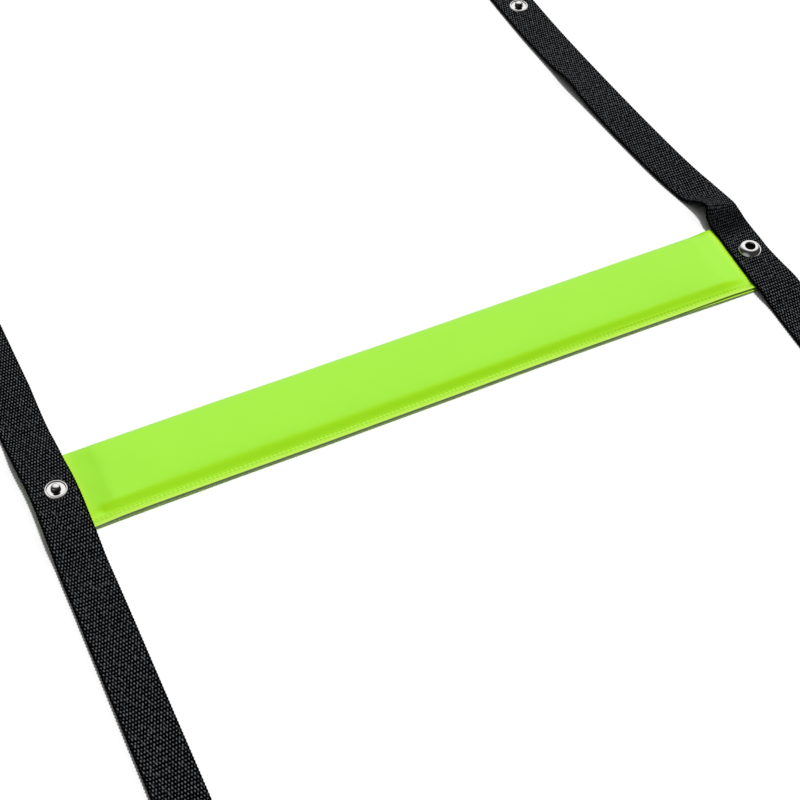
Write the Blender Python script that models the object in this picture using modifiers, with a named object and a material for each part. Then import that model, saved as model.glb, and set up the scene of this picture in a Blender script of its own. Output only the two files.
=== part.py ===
"""Agility ladder: seven padded rungs between two webbing straps, with press fasteners at rungs and mid-bay.

The rungs lie along X and the straps along Y, on a floor at z = 0. The origin is on the floor, in the middle
of the ladder. Each segment is one rung with its own share of both straps. Segments fold on each other at a
line just past the fasteners in the middle of each bay: at every odd line their tops meet, and at every even
line their undersides meet, so that the ladder packs as a zigzag. The straps lie as they were laid out, a
little off a straight line between one rung and the next.
"""

import math

import bmesh
import bpy

# Layout of the ladder, in metres
RUNG_COUNT = 7
RUNG_PITCH = 0.510
FASTENER_SPACING = 0.415
FOLD_PAST_FASTENER = 0.024
CLEARANCE = 0.0003

# Webbing straps
WEB_WIDTH = 0.025
WEB_THICKNESS = 0.0016
RAMP_MARGIN = 0.002
RAMP_LENGTH = 0.018
RAMP_STEPS = 3

# Lay of the straps: the widest drift, and its share at the near end, at each fold and at the far end
STRAP_DRIFT = 0.0155
LEFT_DRIFT_SHARES = (0, 0.13, -0.10, -0.10, -0.226, 0.07, -0.13, 0)
RIGHT_DRIFT_SHARES = (0, -0.10, 0.226, -0.13, -1.0, -0.20, 0.10, 0)
DRIFT_STEPS = 5

# Rung sleeve: a sheet folded at the far edge and welded along the near edge, flat at both ends
SLEEVE_WIDTH = 0.050
SLEEVE_END_MARGIN = 0.003
SLEEVE_END_THICKNESS = 0.0022
SKIN_THICKNESS = 0.0008
SIDE_WALL = 0.0045
CROWN_HEIGHT = 0.0010
CROWN_STEPS = 4
SIDE_STEPS = 4
NEAR_STEPS = 2
TAPER_LENGTH = 0.013
TAPER_STEPS = 3

# Welded flange along the near edge of the sleeve
FLANGE_WIDTH = 0.005
FLANGE_LIFT = 0.0018
FLANGE_THICKNESS = 0.0016
WELD_FROM_EDGE = 0.002
WELD_HALF_WIDTH = 0.0004
WELD_DEPTH = 0.0003

# Unwelded mouth at the right end of the sleeve, beside the flange
MOUTH_WIDTH = 0.007
MOUTH_HEIGHT = 0.0006

# Slat inside the sleeve
SLAT_THICKNESS = 0.0034
SLAT_CORNER_RADIUS = 0.004
SLAT_CORNER_STEPS = 3

# Rivet that carries each fastener
BARREL_RADIUS = 0.0022
RIVET_FLANGE_RADIUS = 0.0055
RIVET_FLANGE_THICKNESS = 0.0005
TURNED_STEPS = 12
HOLE_STEPS = 12

# Stud: a dished ring with a post that has a domed head
STUD_RADIUS = 0.0061
STUD_RIM_HEIGHT = 0.0011
STUD_DISH_HEIGHT = 0.0005
POST_HEAD_RADIUS = 0.00255
POST_NECK_RADIUS = 0.00225
POST_HEIGHT = 0.0046
POST_HEAD_HEIGHT = 0.0016

# Socket: a domed ring round a deep hole
SOCKET_RADIUS = 0.0068
SOCKET_HEIGHT = 0.0036
SOCKET_HOLE_RADIUS = 0.00275
SOCKET_FLOOR = 0.0006
SOCKET_LIP_DROP = 0.0005

# Turned profiles, as (share of the way out, share of the height)
POST_DOME_SHARES = ((0.62, 1.0), (1.0, 0.55))
STUD_RIM_SHARES = ((0.68, 0.0), (0.84, 1.0))
SOCKET_DOME_SHARES = ((0.30, 1.0), (0.72, 0.84), (1.0, 0.35))

# Small sizes of the build itself
CUT_OVERRUN = 0.002
MERGE_DISTANCE = 0.00001
SMOOTH_ANGLE = math.radians(35)

# Places worked out from the sizes above
STRAP_X = FASTENER_SPACING / 2
STRAP_INNER_X = STRAP_X - WEB_WIDTH / 2
SLEEVE_HALF_LENGTH = STRAP_X + WEB_WIDTH / 2 - SLEEVE_END_MARGIN
BAY_FASTENER_Y = RUNG_PITCH / 2
FOLD_Y = BAY_FASTENER_Y + FOLD_PAST_FASTENER
SLAT_BOTTOM = SKIN_THICKNESS + CLEARANCE
SLAT_TOP = SLAT_BOTTOM + SLAT_THICKNESS
SHOULDER_HEIGHT = SLAT_TOP + CLEARANCE + SKIN_THICKNESS
SLEEVE_HEIGHT = SHOULDER_HEIGHT + CROWN_HEIGHT
SLAT_NEAR_Y = FLANGE_WIDTH + SIDE_WALL - SLEEVE_WIDTH / 2
SLAT_FAR_Y = SLEEVE_WIDTH / 2 - SIDE_WALL
SLAT_HALF_LENGTH = STRAP_INNER_X - TAPER_LENGTH - CLEARANCE - SKIN_THICKNESS
PLATEAU_HEIGHT = SLEEVE_END_THICKNESS + CLEARANCE
PLATEAU_HALF = SLEEVE_WIDTH / 2 + RAMP_MARGIN
DRIFT_START = PLATEAU_HALF + RAMP_LENGTH / 2
RUNG_SEAT = PLATEAU_HEIGHT + WEB_THICKNESS + CLEARANCE
BAY_SEAT = WEB_THICKNESS + CLEARANCE
TOP_FOLD_HEIGHT = BAY_SEAT + POST_HEIGHT
UNDER_FOLD_HEIGHT = -CLEARANCE


def clear_scene():
    """Removes what a new scene holds."""
    for obj in list(bpy.data.objects):
        bpy.data.objects.remove(obj, do_unlink=True)


def new_collection(name):
    """A collection linked to the scene."""
    collection = bpy.data.collections.new(name)
    bpy.context.scene.collection.children.link(collection)
    return collection


def linear_channel(value):
    """One sRGB channel, 0 to 1, as linear light."""
    knee, slope, offset, power = 0.04045, 12.92, 0.055, 2.4
    if value <= knee:
        return value / slope
    return ((value + offset) / (1 + offset)) ** power


def material(name, red, green, blue, roughness, metallic):
    """A Principled material with an sRGB colour given in 0 to 255."""
    result = bpy.data.materials.new(name)
    result.use_nodes = True
    shader = result.node_tree.nodes["Principled BSDF"]
    channels = [linear_channel(channel / 255) for channel in (red, green, blue)]
    shader.inputs["Base Color"].default_value = (*channels, 1)
    shader.inputs["Roughness"].default_value = roughness
    shader.inputs["Metallic"].default_value = metallic
    return result


def smooth_step(share):
    """Eases a share from 0 to 1 with level ends."""
    return share * share * (3 - 2 * share)


def object_from_bmesh(bm, name, collection):
    """A mesh object made from a bmesh, with its faces turned outwards."""
    bmesh.ops.recalc_face_normals(bm, faces=bm.faces)
    mesh = bpy.data.meshes.new(name)
    bm.to_mesh(mesh)
    bm.free()
    obj = bpy.data.objects.new(name, mesh)
    collection.objects.link(obj)
    return obj


def settled_mesh(obj):
    """The object's mesh with its modifiers applied and its round faces smooth. The object is removed."""
    evaluated = obj.evaluated_get(bpy.context.evaluated_depsgraph_get())
    mesh = bpy.data.meshes.new_from_object(evaluated)
    mesh.name = obj.name
    bpy.data.objects.remove(obj, do_unlink=True)
    mesh.shade_smooth()
    mesh.set_sharp_from_angle(angle=SMOOTH_ANGLE)
    return mesh


def cutter_from_bmesh(bm, name, cutters):
    """A hidden wire object that only cuts."""
    cutter = object_from_bmesh(bm, name, cutters)
    cutter.hide_render = True
    cutter.display_type = "WIRE"
    return cutter


def box_cutter(name, low, high, cutters):
    """A box between two corners, for cutting."""
    bm = bmesh.new()
    bmesh.ops.create_cube(bm, size=1)
    size = [b - a for a, b in zip(low, high)]
    middle = [(a + b) / 2 for a, b in zip(low, high)]
    bmesh.ops.scale(bm, vec=size, verts=bm.verts)
    bmesh.ops.translate(bm, vec=middle, verts=bm.verts)
    return cutter_from_bmesh(bm, name, cutters)


def cylinder_cutter(name, radius, low, high, x, y, cutters):
    """An upright cylinder at (x, y), for cutting."""
    bm = bmesh.new()
    bmesh.ops.create_cone(
        bm, cap_ends=True, segments=HOLE_STEPS, radius1=radius, radius2=radius, depth=high - low
    )
    bmesh.ops.translate(bm, vec=(x, y, (low + high) / 2), verts=bm.verts)
    return cutter_from_bmesh(bm, name, cutters)


def cut(obj, cutter):
    """Cuts one object from another."""
    boolean = obj.modifiers.new(cutter.name, "BOOLEAN")
    boolean.operation = "DIFFERENCE"
    boolean.solver = "EXACT"
    boolean.object = cutter


def cut_rivet_hole(obj, x, y, top, cutters):
    """Cuts the hole for a rivet's barrel, and the shallow seat for its flange underneath."""
    name = f"{obj.name}_rivet_{x:+.3f}_{y:+.3f}"
    barrel = BARREL_RADIUS + CLEARANCE
    flange = RIVET_FLANGE_RADIUS + CLEARANCE
    seat = RIVET_FLANGE_THICKNESS + CLEARANCE
    cut(obj, cylinder_cutter(name + "_barrel", barrel, -CUT_OVERRUN, top + CUT_OVERRUN, x, y, cutters))
    cut(obj, cylinder_cutter(name + "_flange", flange, -CUT_OVERRUN, seat, x, y, cutters))


def strap_height(y):
    """Height of a strap's underside at y from its rung: over the sleeve's end, then down to the floor."""
    beyond = (abs(y) - PLATEAU_HALF) / RAMP_LENGTH
    return PLATEAU_HEIGHT * (1 - smooth_step(min(max(beyond, 0), 1)))


def strap_drift(y, drifts):
    """How far a strap's middle lies to +X at y from its rung, given the drifts at its near and far ends."""
    reach, drift = (FOLD_Y, drifts[1]) if y > 0 else (RUNG_PITCH - FOLD_Y, drifts[0])
    along = min(max((abs(y) - DRIFT_START) / (reach - DRIFT_START), 0), 1)
    return drift * along * (2 - along)


def strap_stations(end_y):
    """Distances from the rung at which a strap bends up, down or aside, to its end at end_y."""
    ramp = [PLATEAU_HALF + RAMP_LENGTH * i / RAMP_STEPS for i in range(RAMP_STEPS + 1)]
    rest = end_y - ramp[-1]
    return ramp + [ramp[-1] + rest * i / DRIFT_STEPS for i in range(1, DRIFT_STEPS + 1)]


def strap_mesh(name, near_y, far_y, drifts, hole_places, parts, cutters):
    """A strap from near_y before its rung to far_y past it, with a rivet hole at each given place."""
    stations = [-y for y in reversed(strap_stations(near_y))] + strap_stations(far_y)
    bm = bmesh.new()
    corners = []
    for y in stations:
        corners.append(bm.verts.new((strap_drift(y, drifts) - WEB_WIDTH / 2, y, strap_height(y))))
    edges = [bm.edges.new(pair) for pair in zip(corners, corners[1:])]
    across = bmesh.ops.extrude_edge_only(bm, edges=edges)["geom"]
    moved = [item for item in across if isinstance(item, bmesh.types.BMVert)]
    bmesh.ops.translate(bm, vec=(WEB_WIDTH, 0, 0), verts=moved)
    for face in bm.faces:
        face.normal_update()
        if face.normal.z < 0:
            face.normal_flip()
    mesh = bpy.data.meshes.new(name)
    bm.to_mesh(mesh)
    bm.free()
    strap = bpy.data.objects.new(name, mesh)
    parts.objects.link(strap)
    wall = strap.modifiers.new("web thickness", "SOLIDIFY")
    wall.thickness = WEB_THICKNESS
    wall.offset = 1
    for y in hole_places:
        cut_rivet_hole(strap, strap_drift(y, drifts), y, strap_height(y) + WEB_THICKNESS, cutters)
    return settled_mesh(strap)


def ellipse_points(y, z, half_y, half_z, start, stop, steps):
    """Points along an ellipse's arc, both ends included. Angles are in degrees, from +Y towards +Z."""
    angles = [math.radians(start + (stop - start) * i / steps) for i in range(steps + 1)]
    return [(y + half_y * math.cos(a), z + half_z * math.sin(a)) for a in angles]


def sleeve_outline():
    """The sleeve's section, as (y, z): flange, weld line, crowned top, folded far edge, flat underside."""
    edge_y = -SLEEVE_WIDTH / 2
    body_y = edge_y + FLANGE_WIDTH
    weld_y = edge_y + WELD_FROM_EDGE
    flange_top = FLANGE_LIFT + FLANGE_THICKNESS
    flange = [
        (edge_y, FLANGE_LIFT),
        (edge_y, flange_top),
        (weld_y - WELD_HALF_WIDTH, flange_top),
        (weld_y, flange_top - WELD_DEPTH),
        (weld_y + WELD_HALF_WIDTH, flange_top),
    ]
    rise = SHOULDER_HEIGHT - flange_top
    near = ellipse_points(SLAT_NEAR_Y, flange_top, SIDE_WALL, rise, 180, 90, NEAR_STEPS)
    crown = []
    for i in range(1, CROWN_STEPS):
        across = i / CROWN_STEPS
        lift = CROWN_HEIGHT * (1 - (2 * across - 1) ** 2)
        crown.append((SLAT_NEAR_Y + (SLAT_FAR_Y - SLAT_NEAR_Y) * across, SHOULDER_HEIGHT + lift))
    middle = SHOULDER_HEIGHT / 2
    far = ellipse_points(SLAT_FAR_Y, middle, SIDE_WALL, middle, 90, -90, SIDE_STEPS)
    under = ellipse_points(body_y + SIDE_WALL, FLANGE_LIFT, SIDE_WALL, FLANGE_LIFT, 270, 180, NEAR_STEPS)
    return flange + near + crown + far + under


def sleeve_stations():
    """Places along the sleeve, as (x, share of the full height), from its left end to its right end."""
    end_share = SLEEVE_END_THICKNESS / SLEEVE_HEIGHT
    half = [(SLEEVE_HALF_LENGTH, end_share)]
    for i in range(TAPER_STEPS + 1):
        share = i / TAPER_STEPS
        height = end_share + (1 - end_share) * smooth_step(share)
        half.append((STRAP_INNER_X - TAPER_LENGTH * share, height))
    return [(-x, height) for x, height in half] + [(x, height) for x, height in reversed(half)]


def sleeve_mesh(parts, cutters):
    """The welded sleeve of a rung, with the slat's pocket, the unwelded mouth and two rivet holes."""
    bm = bmesh.new()
    x_before, height_before = sleeve_stations()[0]
    ring = [bm.verts.new((x_before, y, z * height_before)) for y, z in sleeve_outline()]
    end = bm.faces.new(ring)
    inner_ends = []
    for x, height in sleeve_stations()[1:]:
        grown = bmesh.ops.extrude_face_region(bm, geom=[end])["geom"]
        end = next(item for item in grown if isinstance(item, bmesh.types.BMFace))
        inner_ends.append(end)
        bmesh.ops.translate(bm, vec=(x - x_before, 0, 0), verts=end.verts)
        bmesh.ops.scale(bm, vec=(1, 1, height / height_before), verts=end.verts)
        x_before, height_before = x, height
    inner_ends.remove(end)
    bmesh.ops.delete(bm, geom=inner_ends, context="FACES_ONLY")
    sleeve = object_from_bmesh(bm, "sleeve", parts)
    pocket_x = SLAT_HALF_LENGTH + CLEARANCE
    pocket_low = (-pocket_x, SLAT_NEAR_Y - CLEARANCE, SLAT_BOTTOM - CLEARANCE)
    pocket_high = (pocket_x, SLAT_FAR_Y + CLEARANCE, SLAT_TOP + CLEARANCE)
    cut(sleeve, box_cutter("slat_pocket", pocket_low, pocket_high, cutters))
    mouth_low = (pocket_x - CUT_OVERRUN, SLAT_NEAR_Y, SKIN_THICKNESS)
    mouth_high = (SLEEVE_HALF_LENGTH + CUT_OVERRUN, SLAT_NEAR_Y + MOUTH_WIDTH, SKIN_THICKNESS + MOUTH_HEIGHT)
    cut(sleeve, box_cutter("sleeve_mouth", mouth_low, mouth_high, cutters))
    for x in (-STRAP_X, STRAP_X):
        cut_rivet_hole(sleeve, x, 0, SLEEVE_END_THICKNESS, cutters)
    return settled_mesh(sleeve)


def slat_mesh(parts):
    """The flat slat that stiffens a rung, with round corners."""
    bm = bmesh.new()
    bmesh.ops.create_cube(bm, size=1)
    size = (SLAT_HALF_LENGTH * 2, SLAT_FAR_Y - SLAT_NEAR_Y, SLAT_THICKNESS)
    middle = (0, (SLAT_FAR_Y + SLAT_NEAR_Y) / 2, (SLAT_BOTTOM + SLAT_TOP) / 2)
    bmesh.ops.scale(bm, vec=size, verts=bm.verts)
    bmesh.ops.translate(bm, vec=middle, verts=bm.verts)
    upright = [edge for edge in bm.edges if edge.verts[0].co.xy == edge.verts[1].co.xy]
    bmesh.ops.bevel(
        bm, geom=upright, offset=SLAT_CORNER_RADIUS, segments=SLAT_CORNER_STEPS, profile=0.5, affect="EDGES"
    )
    return settled_mesh(object_from_bmesh(bm, "slat", parts))


def shares_to_profile(shares, inner, outer, low, high):
    """Turns (share outwards, share upwards) pairs into (radius, height) points."""
    return [(inner + (outer - inner) * out, low + (high - low) * up) for out, up in shares]


def rivet_profile(seat):
    """The lower part of a fastener, as (radius, height): barrel and hidden flange, down to the floor."""
    flange_top = RIVET_FLANGE_THICKNESS - seat
    return [
        (BARREL_RADIUS, 0),
        (BARREL_RADIUS, flange_top),
        (RIVET_FLANGE_RADIUS, flange_top),
        (RIVET_FLANGE_RADIUS, -seat),
        (0, -seat),
    ]


def stud_profile(seat):
    """A stud from the top of its post down to the rivet's underside. Height 0 is its seat on the strap."""
    head_low = POST_HEIGHT - POST_HEAD_HEIGHT
    dome = shares_to_profile(POST_DOME_SHARES, 0, POST_HEAD_RADIUS, head_low, POST_HEIGHT)
    rim = shares_to_profile(STUD_RIM_SHARES, 0, STUD_RADIUS, STUD_DISH_HEIGHT, STUD_RIM_HEIGHT)
    neck = [(POST_NECK_RADIUS, head_low), (POST_NECK_RADIUS, STUD_DISH_HEIGHT)]
    return [(0, POST_HEIGHT), *dome, *neck, *rim, (STUD_RADIUS, 0), *rivet_profile(seat)]


def socket_profile(seat):
    """A socket from the floor of its hole, over its domed ring and down to the rivet's underside."""
    dome = shares_to_profile(SOCKET_DOME_SHARES, SOCKET_HOLE_RADIUS, SOCKET_RADIUS, 0, SOCKET_HEIGHT)
    hole = [
        (0, SOCKET_FLOOR),
        (SOCKET_HOLE_RADIUS, SOCKET_FLOOR),
        (SOCKET_HOLE_RADIUS, SOCKET_HEIGHT - SOCKET_LIP_DROP),
    ]
    return [*hole, *dome, (SOCKET_RADIUS, 0), *rivet_profile(seat)]


def turned_mesh(name, profile, parts):
    """Turns a profile, given from the top down, round the Z axis."""
    bm = bmesh.new()
    corners = [bm.verts.new((radius, 0, height)) for radius, height in profile]
    for pair in zip(corners, corners[1:]):
        bm.edges.new(pair)
    mesh = bpy.data.meshes.new(name)
    bm.to_mesh(mesh)
    bm.free()
    turned = bpy.data.objects.new(name, mesh)
    parts.objects.link(turned)
    screw = turned.modifiers.new("turned", "SCREW")
    screw.axis = "Z"
    screw.steps = TURNED_STEPS
    screw.render_steps = TURNED_STEPS
    screw.use_merge_vertices = True
    screw.merge_threshold = MERGE_DISTANCE
    return settled_mesh(turned)


def fold_axis(index):
    """Place of the fold line that joins segment index to the segment before it."""
    before = rung_y(index - 1)
    height = TOP_FOLD_HEIGHT if index % 2 == 0 else UNDER_FOLD_HEIGHT
    return (0, before + FOLD_Y, height)


def rung_y(index):
    """Place of a rung along the ladder. The first rung has index 1."""
    return (index - (RUNG_COUNT + 1) / 2) * RUNG_PITCH


def segment_empty(index, parts):
    """The empty that a segment's pieces hang on: on its fold line, or at its rung for the first segment."""
    place = (0, rung_y(index), 0) if index == 1 else fold_axis(index)
    empty = bpy.data.objects.new(f"segment_{index}", None)
    empty.location = place
    parts.objects.link(empty)
    return empty


def place_piece(name, mesh, finish, empty, place, parts):
    """Puts a piece at a place in the ladder, carried by its segment's empty."""
    piece = bpy.data.objects.new(name, mesh)
    if not mesh.materials:
        mesh.materials.append(finish)
    piece.parent = empty
    piece.location = [a - b for a, b in zip(place, empty.location)]
    parts.objects.link(piece)


def segment_drifts(index, shares):
    """A strap's drift at the near and far ends of its segment."""
    return [STRAP_DRIFT * share for share in shares[index - 1:index + 1]]


def segment_strap(name, index, drifts, parts, cutters):
    """A segment's share of one strap. The first one's near tail is as long as every far tail."""
    if index == 1:
        places = (-BAY_FASTENER_Y, 0, BAY_FASTENER_Y)
        return strap_mesh(name, FOLD_Y, FOLD_Y - CLEARANCE / 2, drifts, places, parts, cutters)
    near_y = RUNG_PITCH - FOLD_Y - CLEARANCE / 2
    return strap_mesh(name, near_y, FOLD_Y - CLEARANCE / 2, drifts, (0, BAY_FASTENER_Y), parts, cutters)


def build_segment(index, meshes, finishes, parts, cutters):
    """One rung with its slat, its share of both straps and its fasteners."""
    empty = segment_empty(index, parts)
    y = rung_y(index)
    bay_y = y + BAY_FASTENER_Y
    left_drifts = segment_drifts(index, LEFT_DRIFT_SHARES)
    right_drifts = segment_drifts(index, RIGHT_DRIFT_SHARES)
    left_bay_x = strap_drift(BAY_FASTENER_Y, left_drifts) - STRAP_X
    right_bay_x = strap_drift(BAY_FASTENER_Y, right_drifts) + STRAP_X
    left_strap = segment_strap(f"left_strap_{index}", index, left_drifts, parts, cutters)
    right_strap = segment_strap(f"right_strap_{index}", index, right_drifts, parts, cutters)
    pieces = [
        (f"rung_sleeve_{index}", meshes["sleeve"], "vinyl", (0, y, 0)),
        (f"rung_slat_{index}", meshes["slat"], "slat", (0, y, 0)),
        (f"left_strap_{index}", left_strap, "webbing", (-STRAP_X, y, 0)),
        (f"right_strap_{index}", right_strap, "webbing", (STRAP_X, y, 0)),
        (f"left_rung_stud_{index}", meshes["rung_stud"], "nickel", (-STRAP_X, y, RUNG_SEAT)),
        (f"right_rung_socket_{index}", meshes["rung_socket"], "nickel", (STRAP_X, y, RUNG_SEAT)),
        (f"left_bay_socket_{index}", meshes["bay_socket"], "nickel", (left_bay_x, bay_y, BAY_SEAT)),
        (f"right_bay_stud_{index}", meshes["bay_stud"], "nickel", (right_bay_x, bay_y, BAY_SEAT)),
    ]
    if index == 1:
        end_y = y - BAY_FASTENER_Y
        pieces.append(("left_end_socket", meshes["bay_socket"], "nickel", (-STRAP_X, end_y, BAY_SEAT)))
        pieces.append(("right_end_stud", meshes["bay_stud"], "nickel", (STRAP_X, end_y, BAY_SEAT)))
    for name, mesh, finish, place in pieces:
        place_piece(name, mesh, finishes[finish], empty, place, parts)


def shared_meshes(parts, cutters):
    """Each kind of piece that every segment shares, modelled once."""
    return {
        "sleeve": sleeve_mesh(parts, cutters),
        "slat": slat_mesh(parts),
        "rung_stud": turned_mesh("rung_stud", stud_profile(RUNG_SEAT), parts),
        "rung_socket": turned_mesh("rung_socket", socket_profile(RUNG_SEAT), parts),
        "bay_stud": turned_mesh("bay_stud", stud_profile(BAY_SEAT), parts),
        "bay_socket": turned_mesh("bay_socket", socket_profile(BAY_SEAT), parts),
    }


def build_finishes():
    """The four finishes: welded vinyl, slat plastic, webbing and nickel plate."""
    return {
        "vinyl": material("bright_vinyl", 169, 240, 72, roughness=0.45, metallic=0),
        "slat": material("white_slat", 226, 226, 220, roughness=0.5, metallic=0),
        "webbing": material("black_webbing", 26, 27, 28, roughness=0.9, metallic=0),
        "nickel": material("nickel_plate", 205, 205, 202, roughness=0.22, metallic=1),
    }


def main():
    """Builds the whole ladder."""
    clear_scene()
    parts = new_collection("agility_ladder")
    cutters = new_collection("cutters")
    meshes = shared_meshes(parts, cutters)
    finishes = build_finishes()
    for index in range(1, RUNG_COUNT + 1):
        build_segment(index, meshes, finishes, parts, cutters)


main()
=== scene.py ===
"""Agility ladder as it is seen: welded vinyl rungs, woven straps and nickel press fasteners.

The script adds the light and the camera too. Lengths are in metres, or in millimetres where a name
ends in _MM. A rung lies along X and the straps along Y, on the floor at z = 0. Rung 4 is the one in
the middle of the photograph, with its centre over the origin.
"""

import math

import bpy
from mathutils import Matrix, Vector, noise


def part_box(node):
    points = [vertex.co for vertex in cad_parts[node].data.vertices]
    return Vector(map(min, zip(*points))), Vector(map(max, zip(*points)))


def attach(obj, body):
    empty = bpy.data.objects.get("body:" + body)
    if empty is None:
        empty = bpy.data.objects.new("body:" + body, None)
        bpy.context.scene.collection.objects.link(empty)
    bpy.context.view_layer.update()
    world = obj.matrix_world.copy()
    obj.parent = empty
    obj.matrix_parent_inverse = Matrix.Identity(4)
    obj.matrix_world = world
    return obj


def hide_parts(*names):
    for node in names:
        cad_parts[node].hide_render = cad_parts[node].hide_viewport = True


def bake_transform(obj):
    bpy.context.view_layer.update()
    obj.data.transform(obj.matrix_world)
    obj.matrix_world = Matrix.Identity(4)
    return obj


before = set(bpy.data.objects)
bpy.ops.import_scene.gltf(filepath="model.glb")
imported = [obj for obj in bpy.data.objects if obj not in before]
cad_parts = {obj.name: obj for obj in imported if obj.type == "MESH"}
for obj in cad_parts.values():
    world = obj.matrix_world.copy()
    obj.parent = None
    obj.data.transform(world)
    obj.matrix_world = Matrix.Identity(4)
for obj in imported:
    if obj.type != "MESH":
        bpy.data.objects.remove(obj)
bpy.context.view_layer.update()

# Layout, as in the frame
MM = 0.001
RUNG_COUNT = 7
PHOTO_RUNG = 4
RUNG_PITCH = 0.510
STRAP_X = 0.2075
FOLD_Y = 0.279
CLEARANCE = 0.0003
RUNG_SEAT = 0.0044
BAY_SEAT = 0.0019

# Webbing
WEB_WIDTH = 0.025
WEB_THICKNESS = 0.0016
WEB_COLUMNS = 10
WEB_ROW = 0.001
WEB_SMOOTH_ANGLE = 50
SELVEDGE_SCALLOP = 0.00030
SELVEDGE_ROUND = 0.00045
SELVEDGE_ANGLE = 60
WARP_PITCH = 0.00158
WEFT_PITCH = 0.002
# The lit top of a crown, against the yarn's own wave: shorter along the strap, wider across it
CROWN_SHORTENING = 3.0
CROWN_WIDENING = 1.7

# A strap lies level over each rung's end and comes down to the floor on both sides of it
PLATEAU_HEIGHT = 0.0025
PLATEAU_HALF = 0.027
RAMP_LENGTH = 0.018
# The most that a strap drifts to +X, and the share of it at each fold line and at both ends
STRAP_DRIFT = 0.0155
LEFT_DRIFT_SHARES = (0, 0.13, -0.10, -0.10, -0.226, 0.07, -0.13, 0)
RIGHT_DRIFT_SHARES = (0, -0.10, 0.226, -0.13, -1.0, -0.20, 0.10, 0)
DRIFT_START = PLATEAU_HALF + RAMP_LENGTH / 2

# Slack webbing at a fold line, and the stretch of strap that bends there
FOLD_HUMP = 0.0026
FOLD_HUMP_HALF = 0.013

# How far the straps stray to +X from the plain lay beside the photographed rung: (y, x)
LEFT_STRAY_MM = (
    (-228, 0), (-195, 0.5), (-110, 0.5), (-70, 0.3), (-45, 0), (-22, 0.4), (-6, 0.8), (8, 0.6),
    (21, -0.3), (38, -0.9), (55, -0.8), (78, 0),
)
RIGHT_STRAY_MM = (
    (-120, 0), (-60, 0.5), (-40, 0.7), (-25, 0.15), (-15, -0.35), (-7, -0.5), (-1, -0.4),
    (6, -0.1), (15, 0.25), (24, 0.4), (32, 0.8), (40, 1.8), (47, 2.2), (57, 2.1), (70, 1.3),
    (85, 0.9), (110, 0.8), (160, 0.7), (200, 0.3), (225, 0),
)
# The straps' inner edges lie off the floor there, the left one's before the rung and the right
# one's past it: (y, height)
LEFT_TILT_MM = ((-226, 0), (-195, 1.1), (-110, 1.2), (-75, 0.6), (-48, 0))
RIGHT_TILT_MM = ((48, 0), (70, 0.4), (120, 0.5), (200, 0.6), (255, 0.4), (276, 0))
TILT_POWER = 1.8

# Buckle of the right strap just past the photographed rung: (y, height of the inner edge). It pulls
# the inner edge outwards, draws both edges together (y, narrowing), and just reaches the outer edge
BUCKLE_MM = (
    (20, 0), (24, 0.2), (28, 1.1), (32, 3.1), (35.5, 6.4), (38, 7.7), (41, 7.3), (44, 5.7),
    (47, 4.0), (51, 1.5), (56, 0.2), (62, 0),
)
BUCKLE_AT_OUTER_EDGE = 0.10
BUCKLE_POWER = 1.5
BUCKLE_PULL = 0.38
NARROWED_MM = (
    (-28, 0), (-17, 0.9), (-9, 1.75), (-2, 2.4), (5, 2.5), (15, 3.0), (23, 2.4), (32, 1.0), (42, 0),
)
# The right strap's inner edge lifts again further on: (y, height)
RAISED_EDGE_MM = (
    (112, 0), (125, 0.2), (140, 0.7), (150, 1.4), (160, 2.3), (169, 3.7), (177, 3.6), (184, 2.5),
    (190, 1.5), (200, 0.8), (215, 0.4), (232, 0),
)
RAISED_EDGE_POWER = 2.2
# Painted shade, where fewer crowns show, on the buckle's near flank between the buckle and the
# fastener: the middle of that place, which reaches further across the strap than along it
FLANK_SHADE_PLACE = (0.208, 0.026)
FLANK_SHADE_SQUEEZE = 0.5

# The left strap's outer edge curls up and is pulled outwards a little, but not at the fold lines
CURL = 0.0017
CURL_PULL = 0.0005
CURL_POWER = 1.6
CURL_FROM = 0.0068
CURL_END = 0.020
CURL_VARIES = 0.0006
CURL_WAVES = 9
CURL_SEED = (2.2, 0.4)

# The inner edge of each strap lies a little higher on the swell of each sleeve
OVER_SWELL = 0.0004
OVER_SWELL_FROM = 0.0055
OVER_SWELL_POWER = 1.5
OVER_SWELL_SHORTER = 0.004

# Rung sleeve
SLEEVE_HALF_LENGTH = 0.217
STRAP_INNER_X = 0.195
SKIN = 0.0008
SLEEVE_SMOOTH_ANGLE = 40
# The sleeves lie a little off their fasteners' line, and each but the photographed one differs
SLEEVE_SHIFT = -0.00145
SLEEVE_LEAN = 0.0006
SLEEVE_LEAN_TURN = 2.3
# Columns of the mesh from the middle of a sleeve to its taper, over its taper, and under the strap
MIDDLE_COLUMNS = 40
TAPER_COLUMNS = 26
END_COLUMNS = 16
TAPER_REACH = 0.026
# How far the sleeve has risen from pressed flat: (distance in from the strap in mm, share)
TAPER_SHARES = (
    (-5.5, 0.02), (-3, 0.07), (0, 0.17), (3, 0.32), (7, 0.53), (11, 0.75), (14.2, 0.92),
    (18, 0.985), (24, 1),
)
# The swell over the shoulders is less towards the ends
SHOULDER_MM = 5.52
CROWN_START = 0.008
CROWN_TAPER = 0.040
CROWN_AT_ENDS = 0.12
# Pressed flat, the folded edge lies further out
LEFT_SPREAD_MM = 1.2
RIGHT_SPREAD_MM = 2.2
SPREAD_REACH_MM = 22
# Sags of the upper skin: (waves per metre along X, waves per mm along Y, seed, height in mm)
SAGS = ((34, 0.05, 3.1, 0.10), (90, 0.11, 7.7, 0.03))
SAG_FROM_Y_MM = -21
# Dents: (x, y, radius, depth)
DENTS_MM = ((-188.4, -17.2, 2.4, 0.55), (-182.8, 9.8, 6.0, 0.30))
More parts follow.
